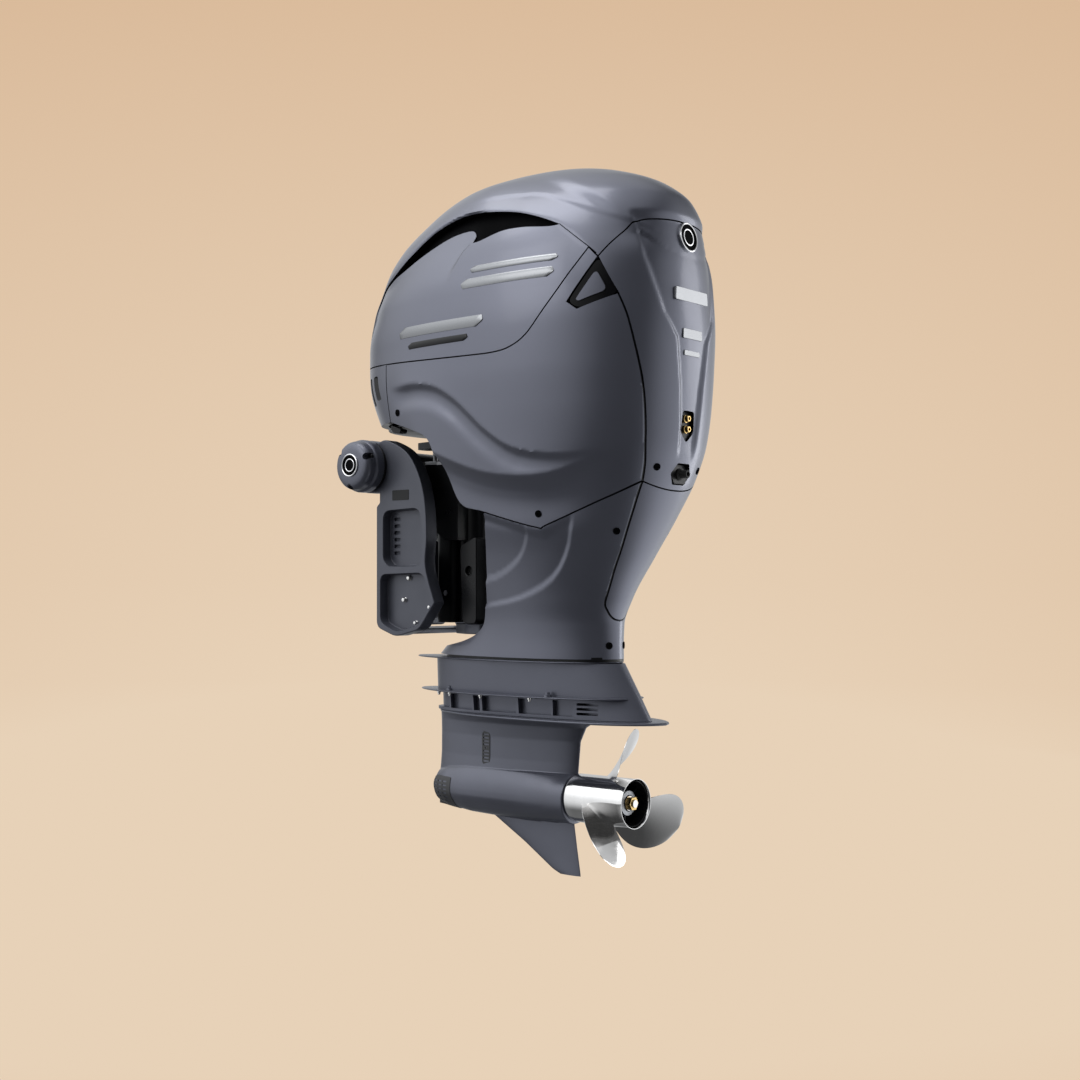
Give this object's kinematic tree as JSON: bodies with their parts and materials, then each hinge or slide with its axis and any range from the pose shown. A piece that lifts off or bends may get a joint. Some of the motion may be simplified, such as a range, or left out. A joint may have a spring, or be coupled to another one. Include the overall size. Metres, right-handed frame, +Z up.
{
  "type": "outboard motor",
  "caption": "Large offshore outboard motor: clamp brackets, tilting and steering midsection, cowled V engine with lift-off top cowl, gearcase and geared propeller.",
  "frame": {"origin": "on the centreline where the transom's top edge meets the forward face of the clamp brackets", "axes": "+X forward to the bow, +Y to port, +Z up; at rest the motor is untilted and steered straight ahead"},
  "size_m": [1.114, 0.624, 1.968],
  "materials": {
    "paint": "satin grey metallic",
    "case": "satin grey metallic casting paint",
    "dark": "dark satin bracket paint",
    "black": "black moulded plastic",
    "rubber": "black rubber",
    "steel": "polished stainless steel",
    "alloy": "cast aluminium",
    "brass": "machined brass",
    "zinc": "bare sacrificial metal",
    "gear": "machined steel"
  },
  "bodies": {
    "clamp": {"clamp_bracket_port": "dark", "clamp_bracket_starboard": "dark", "end_cap_port": "dark", "end_cap_starboard": "dark", "tilt_tube": "steel", "cylinder_lower_pin": "steel", "bracket_anode": "zinc"},
    "swivel": {"swivel_bracket": "dark", "rod_pin": "steel", "steering_guide_rod": "steel"},
    "tilt_cylinder": {"tilt_cylinder": "dark", "tilt_pump_motor": "black"},
    "tilt_rod": {"tilt_rod": "steel"},
    "steering_carriage": {"steering_carriage": "alloy"},
    "support_lever": {"tilt_support_lever": "alloy"},
    "engine": {"kingpin": "steel", "steering_arm": "dark", "lower_mount_yoke": "dark", "upper_mount_port": "rubber", "upper_mount_starboard": "rubber", "lower_mount_port": "black", "lower_mount_starboard": "black", "exhaust_guide": "alloy", "upper_case": "alloy", "splash_plate": "case", "extension_case": "case", "apron_port": "paint", "apron_starboard": "paint", "gearcase": "case", "side_inlet_port": "black", "side_inlet_starboard": "black", "water_pump_housing": "alloy", "bearing_carrier": "alloy", "engine_block": "alloy", "cylinder_head_port": "alloy", "cylinder_head_starboard": "alloy", "intake_plenum": "black", "lower_cowl_port": "paint", "lower_cowl_starboard": "paint", "side_insert_port": "black", "side_insert_starboard": "black", "front_cover": "paint", "cowl_floor": "black", "rear_cover": "paint", "rear_lower_cover": "paint", "flush_fitting": "brass", "water_outlet": "black"},
    "top_cowl": {"top_cowl": "paint"},
    "cowl_latch": {"cowl_latch": "black"},
    "crank": {"crankshaft": "gear", "flywheel": "gear", "driveshaft": "steel", "pinion_gear": "gear", "pump_impeller": "rubber"},
    "prop": {"propeller": "steel", "propeller_shaft": "steel", "forward_gear": "gear", "clutch_dog": "gear", "prop_nut": "brass"},
    "reverse_gear": {"reverse_gear": "gear"}
  },
  "joints": [
    {"name": "tilt", "type": "hinge", "parent": "clamp", "child": "swivel", "pos_m": [0.03, 0, 0.09], "axis": [0, 1, 0], "range_deg": [-4, 66]},
    {"name": "steer", "type": "hinge", "parent": "swivel", "child": "engine", "pos_m": [-0.22, 0, 0], "axis": [0, 0, 1], "range_deg": [-30, 30]},
    {"name": "cylinder_swing", "type": "hinge", "parent": "clamp", "child": "tilt_cylinder", "pos_m": [-0.055, 0, -0.355], "axis": [0, 1, 0], "range_deg": [-5.3, 0.5]},
    {"name": "rod_slide", "type": "slide", "parent": "tilt_cylinder", "child": "tilt_rod", "axis": [0, 0, 1], "range_m": [-0.009, 0.131]},
    {"name": "carriage_slide", "type": "slide", "parent": "swivel", "child": "steering_carriage", "axis": [0, 1, 0], "range_m": [-0.0895, 0.0895]},
    {"name": "support_lever_swing", "type": "hinge", "parent": "swivel", "child": "support_lever", "pos_m": [-0.12, 0.095, 0.02], "axis": [0, -1, 0], "range_deg": [0, 70]},
    {"name": "top_cowl_lift", "type": "slide", "parent": "engine", "child": "top_cowl", "axis": [0, 0, 1], "range_m": [0, 0.45]},
    {"name": "latch_swing", "type": "hinge", "parent": "engine", "child": "cowl_latch", "pos_m": [0.08, 0, 0.33], "axis": [0, -1, 0], "range_deg": [0, 45]},
    {"name": "crank_spin", "type": "hinge", "parent": "engine", "child": "crank", "pos_m": [-0.36, 0, 0], "axis": [0, 0, 1], "continuous": true},
    {"name": "propeller_spin", "type": "hinge", "parent": "engine", "child": "prop", "pos_m": [-0.36, 0, -0.856], "axis": [1, 0, 0], "continuous": true},
    {"name": "reverse_gear_spin", "type": "hinge", "parent": "engine", "child": "reverse_gear", "pos_m": [-0.36, 0, -0.856], "axis": [1, 0, 0], "continuous": true}
  ],
  "couplings": [
    {"joint": "cylinder_swing", "follows": "tilt", "ratio": -0.075},
    {"joint": "rod_slide", "follows": "tilt", "m_per_rad": 0.112},
    {"joint": "carriage_slide", "follows": "steer", "m_per_rad": 0.17},
    {"joint": "propeller_spin", "follows": "crank_spin", "ratio": -0.56},
    {"joint": "reverse_gear_spin", "follows": "crank_spin", "ratio": 0.56}
  ]
}
